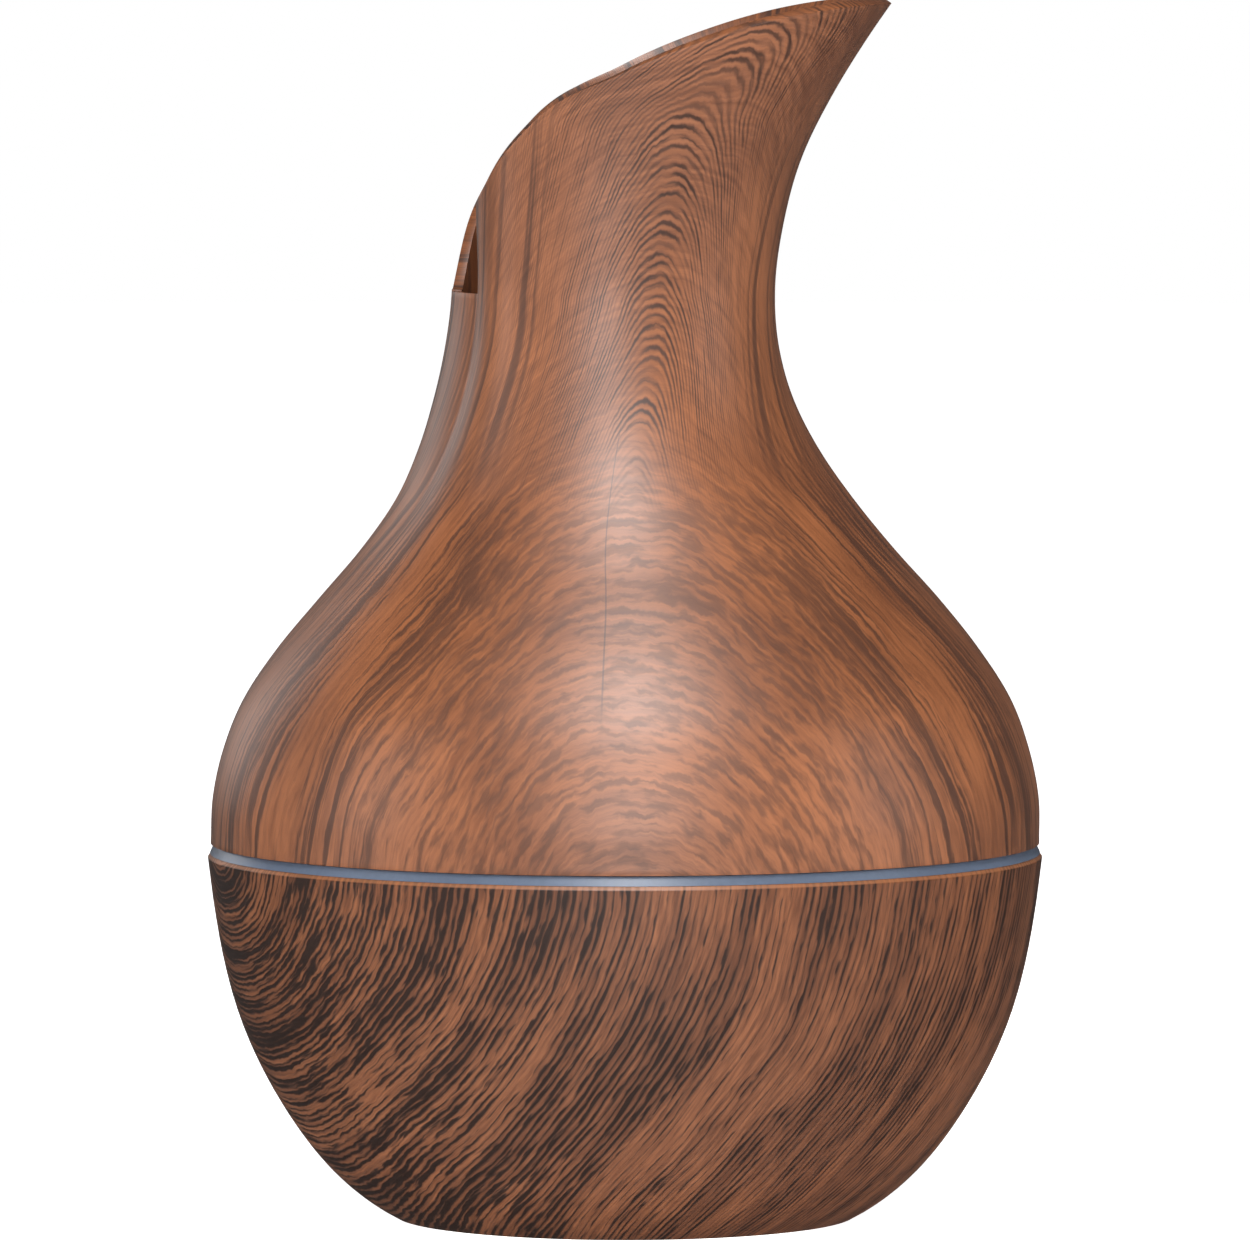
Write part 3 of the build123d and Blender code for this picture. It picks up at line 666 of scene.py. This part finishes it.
class Builder:
    """Adds nodes to a Geometry Nodes tree: type, settings first, then socket values or links."""

    def __init__(self, name, sizes):
        self.tree = bpy.data.node_groups.new(name, "GeometryNodeTree")
        sockets = self.tree.interface
        sockets.new_socket("Geometry", in_out="INPUT", socket_type="NodeSocketGeometry")
        self.inputs = {}
        for label, (kind, value) in sizes.items():
            socket = sockets.new_socket(label, in_out="INPUT", socket_type="NodeSocket" + kind)
            if value is not None:
                socket.default_value = value
            self.inputs[label] = socket.identifier
        sockets.new_socket("Geometry", in_out="OUTPUT", socket_type="NodeSocketGeometry")
        self.start = self.tree.nodes.new("NodeGroupInput").outputs
        self.end = self.tree.nodes.new("NodeGroupOutput").inputs[0]

    def node(self, kind, settings=None, inputs=None, output=0):
        made = self.tree.nodes.new(kind)
        for label, value in (settings or {}).items():
            setattr(made, label, value)
        for label, value in (inputs or {}).items():
            for item in value if isinstance(value, list) else [value]:
                if isinstance(item, bpy.types.NodeSocket):
                    self.tree.links.new(item, made.inputs[label])
                else:
                    made.inputs[label].default_value = item
        return made.outputs[output]

    def maths(self, operation, first, second):
        return self.node("ShaderNodeMath", {"operation": operation}, {0: first, 1: second})

    def times(self, value, factor):
        return self.maths("MULTIPLY", value, factor)

    def vector(self, x, y, z):
        return self.node("ShaderNodeCombineXYZ", inputs={"X": x, "Y": y, "Z": z})

    def moved(self, shape, **change):
        """The shape with a Translation, a Rotation or a Scale."""
        return self.node("GeometryNodeTransform", inputs={"Geometry": shape, **change})

    def finish(self, instances):
        """Realises the copies, puts the finish on them and closes the tree."""
        plain = self.node("GeometryNodeRealizeInstances", inputs={"Geometry": instances})
        coat = {"Geometry": plain, "Material": self.start["Finish"]}
        self.tree.links.new(self.node("GeometryNodeSetMaterial", inputs=coat), self.end)


def screw_tree():
    b = Builder("pan_head_screws", {
        "Head Radius": ("Float", 2.1 * MM), "Head Height": ("Float", 0.8 * MM),
        "Shank Radius": ("Float", 0.9 * MM), "Length": ("Float", 6.5 * MM),
        "Thread Pitch": ("Float", 0.7 * MM), "Direction": ("Float", 1.0),
        "Seed": ("Int", 7), "Finish": ("Material", None)})
    head_radius, head_height = b.start["Head Radius"], b.start["Head Height"]
    shank_radius, length = b.start["Shank Radius"], b.start["Length"]
    ball = b.node("GeometryNodeMeshUVSphere", inputs={"Segments": 28, "Rings": 20, "Radius": head_radius})
    dome = b.moved(ball, Scale=b.vector(1.0, 1.0, b.maths("DIVIDE", head_height, head_radius)))
    wide = b.times(head_radius, 4.0)
    block = b.node("GeometryNodeMeshCube", inputs={"Size": b.vector(wide, wide, wide)})
    block = b.moved(block, Translation=b.vector(0.0, 0.0, b.times(wide, 0.5)))
    arm = b.vector(b.times(head_radius, 1.15), b.times(head_radius, 0.26), head_height)
    arm = b.node("GeometryNodeMeshCube", inputs={"Size": arm})
    along = b.moved(arm, Translation=b.vector(0.0, 0.0, b.times(head_height, -0.95)))
    across = b.moved(along, Rotation=(0.0, 0.0, math.pi / 2))
    head = b.node("GeometryNodeMeshBoolean", {"operation": "DIFFERENCE", "solver": "EXACT"},
                  {0: dome, 1: [block, along, across]})
    shank = {"Vertices": 20, "Radius": shank_radius, "Depth": length}
    shank = b.node("GeometryNodeMeshCylinder", inputs=shank)
    shank = b.moved(shank, Translation=b.vector(0.0, 0.0, b.times(length, 0.49)))
    threaded = b.times(length, 0.8)
    spiral = b.node("GeometryNodeCurveSpiral", inputs={
        "Resolution": 16, "Rotations": b.maths("DIVIDE", threaded, b.start["Thread Pitch"]),
        "Start Radius": shank_radius, "End Radius": shank_radius, "Height": threaded})
    wire = {"Resolution": 4, "Radius": b.times(shank_radius, 0.12)}
    wire = b.node("GeometryNodeCurvePrimitiveCircle", inputs=wire)
    sweep = {"Curve": spiral, "Profile Curve": wire, "Fill Caps": True}
    thread = b.node("GeometryNodeCurveToMesh", inputs=sweep)
    thread = b.moved(thread, Translation=b.vector(0.0, 0.0, b.times(length, 0.15)))
    screw = b.node("GeometryNodeJoinGeometry", inputs={"Geometry": [head, shank, thread]})
    spin = b.node("FunctionNodeRandomValue", {"data_type": "FLOAT"},
                  {2: 0.0, 3: FULL_TURN, "Seed": b.start["Seed"]}, output=1)
    flip = b.times(b.maths("SUBTRACT", 1.0, b.start["Direction"]), math.pi / 2)
    copies = {"Points": b.start[0], "Instance": screw, "Rotation": b.vector(flip, 0.0, spin)}
    b.finish(b.node("GeometryNodeInstanceOnPoints", inputs=copies))
    return b


screw_maker = screw_tree()
print("screw tree", len(screw_maker.tree.nodes), "nodes")

# %% [markdown]
# Each set of screws is a mesh of bare points and a modifier with the sizes of that set. The
# modifier's inputs are set by identifier before the object is evaluated. The result is copied
# to a plain mesh and the modifier is dropped, so that the finished piece depends on nothing.

# %% Screws in their places
def grown_piece(name, builder, points, sizes, finish):
    """Runs a Geometry Nodes tree on points and keeps the plain mesh."""
    piece = mesh_piece(name, points, [])
    modifier = piece.modifiers.new("grow", "NODES")
    modifier.node_group = builder.tree
    modifier[builder.inputs["Finish"]] = finish
    for label, value in sizes.items():
        modifier[builder.inputs[label]] = value
    return settle(piece, 30.0)


def screw_set(node, spots, face, head_radius, head_height, shank_radius, length, up=True):
    """The screws of one CAD node: where the underside of each head is, and the sizes."""
    points = [(x, y, face) for x, y in spots]
    sizes = {"Head Radius": head_radius * MM, "Head Height": head_height * MM, "Seed": len(node),
             "Shank Radius": shank_radius * MM, "Length": length * MM, "Direction": 1.0 if up else -1.0}
    piece = grown_piece(node + "_set", screw_maker, points, sizes, screw_steel)
    return hand_over(piece, screw_steel, "base", "screw_steel", node)


screw_set("case_screws", [(20.5, -9.0), (-20.5, -9.0), (11.5, 19.2), (-11.5, 19.2)], 1.6, 2.1, 0.8, 0.8, 6.5)
screw_set("fan_screws", [(10.6, -6.4), (-10.6, -27.6)], 6.0, 1.4, 0.8, 0.9, 7.0)
screw_set("retainer_screws", [(-13.6, 7.0), (13.6, 7.0)], 9.8, 1.5, 0.9, 0.62, 3.6)
screw_set("board_screws", [(-24.0, 3.0), (24.0, 3.0)], 6.0, 1.4, 0.8, 0.62, 2.9, up=False)

# %% [markdown]
# ## Nodes that keep their CAD shape
#
# The working parts inside have their true shape already. They only need their finish, so one
# table says which nodes share which finish, and a loop puts it in every material slot.

# %% Finishes for the CAD nodes
KEPT = {
    base_wood: ["base_shell"],
    cover_wood: ["mouth_floor"],
    ring_plastic: ["light_ring"],
    white_plastic: ["cover_liner", "mist_chimney", "mist_outlet", "air_tube_cap", "disc_retainer",
                    "fan_duct", "power_button", "switch_plunger", "bottom_cover"],
    frosted_plastic: ["water_tank", "air_tube"],
    silicone: ["cover_seal", "tank_gasket", "disc_grommet"],
    black_plastic: ["fan_housing", "fan_rotor", "control_chips", "usb_tongue", "inlet_bezel", "switch_body"],
    disc_metal: ["ultrasonic_disc"],
    lead_skin: ["disc_leads", "fan_leads"],
    screw_steel: ["fan_shaft"],
    inlet_steel: ["usb_shell"],
    contact_metal: ["usb_contacts"],
    core_metal: ["inductor"],
    can_metal: ["capacitors"],
    lamp_epoxy: ["night_light_leds"],
    copper_wire: ["fan_stator"],
    board_finish: ["main_board"],
    foot_rubber: ["foot_front_right", "foot_front_left", "foot_back_left", "foot_back_right"],
}
for finish, nodes in KEPT.items():
    for node in nodes:
        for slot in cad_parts[node].material_slots:
            slot.material = finish
    print(finish.name, "on", len(nodes), "nodes")
